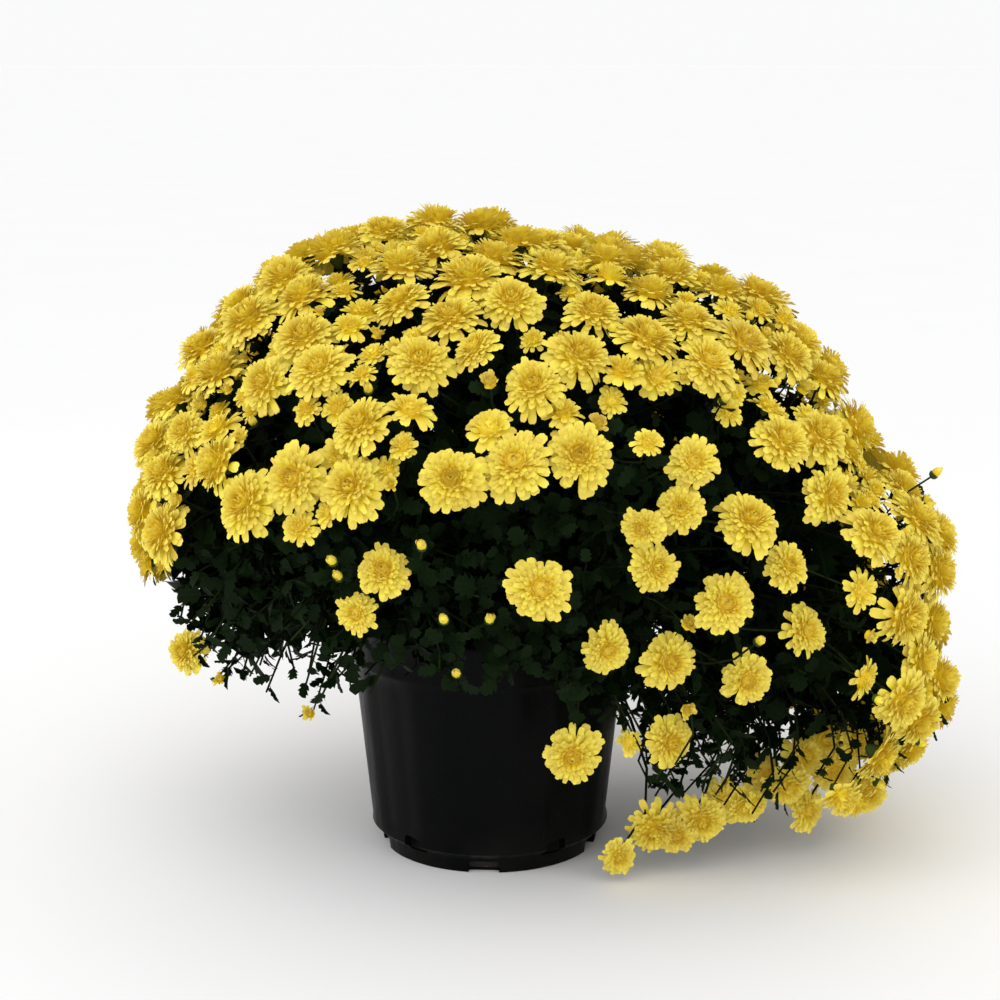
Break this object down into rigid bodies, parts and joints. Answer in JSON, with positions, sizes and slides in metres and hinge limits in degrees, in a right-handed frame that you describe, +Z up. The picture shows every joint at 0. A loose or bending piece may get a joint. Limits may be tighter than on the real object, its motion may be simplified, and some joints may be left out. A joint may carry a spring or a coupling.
{
  "type": "potted chrysanthemum",
  "caption": "Bushy garden chrysanthemum with a lopsided dome of double yellow blooms and small lobed leaves, growing in a round black nursery pot.",
  "frame": {"origin": "middle of the pot's underside, on the surface that it stands on", "axes": "+Z up, -Y towards the front, +X towards the side on which the plant flops lowest"},
  "size_m": [0.6507, 0.5302, 0.502],
  "materials": {
    "pot": "satin, faintly scuffed",
    "soil": "crumbly potting mix",
    "foliage": "soft matte leaf",
    "petals": "soft matte petal"
  },
  "bodies": {
    "root": {"pot": "pot", "soil": "soil", "stem_01": "foliage", "stem_02": "foliage", "stem_03": "foliage", "stem_04": "foliage", "stem_05": "foliage", "stem_06": "foliage", "stem_07": "foliage", "stem_08": "foliage", "stem_09": "foliage", "stem_10": "foliage", "stem_11": "foliage", "stem_12": "foliage", "stem_13": "foliage", "stem_14": "foliage", "stem_15": "foliage", "blooms_01": "petals", "blooms_02": "petals", "blooms_03": "petals", "blooms_04": "petals", "blooms_05": "petals", "blooms_06": "petals", "blooms_07": "petals", "blooms_08": "petals", "blooms_09": "petals", "blooms_10": "petals", "blooms_11": "petals", "blooms_12": "petals", "blooms_13": "petals", "blooms_14": "petals", "blooms_15": "petals", "blooms_16": "petals", "blooms_17": "petals", "blooms_18": "petals", "blooms_19": "petals", "blooms_20": "petals", "blooms_21": "petals", "blooms_22": "petals", "blooms_23": "petals", "blooms_24": "petals", "blooms_25": "petals", "blooms_26": "petals", "blooms_27": "petals", "blooms_28": "petals", "blooms_29": "petals", "blooms_30": "petals", "blooms_31": "petals", "blooms_32": "petals", "blooms_33": "petals", "blooms_34": "petals", "blooms_35": "petals", "blooms_36": "petals", "blooms_37": "petals", "blooms_38": "petals"}
  },
  "joints": []
}
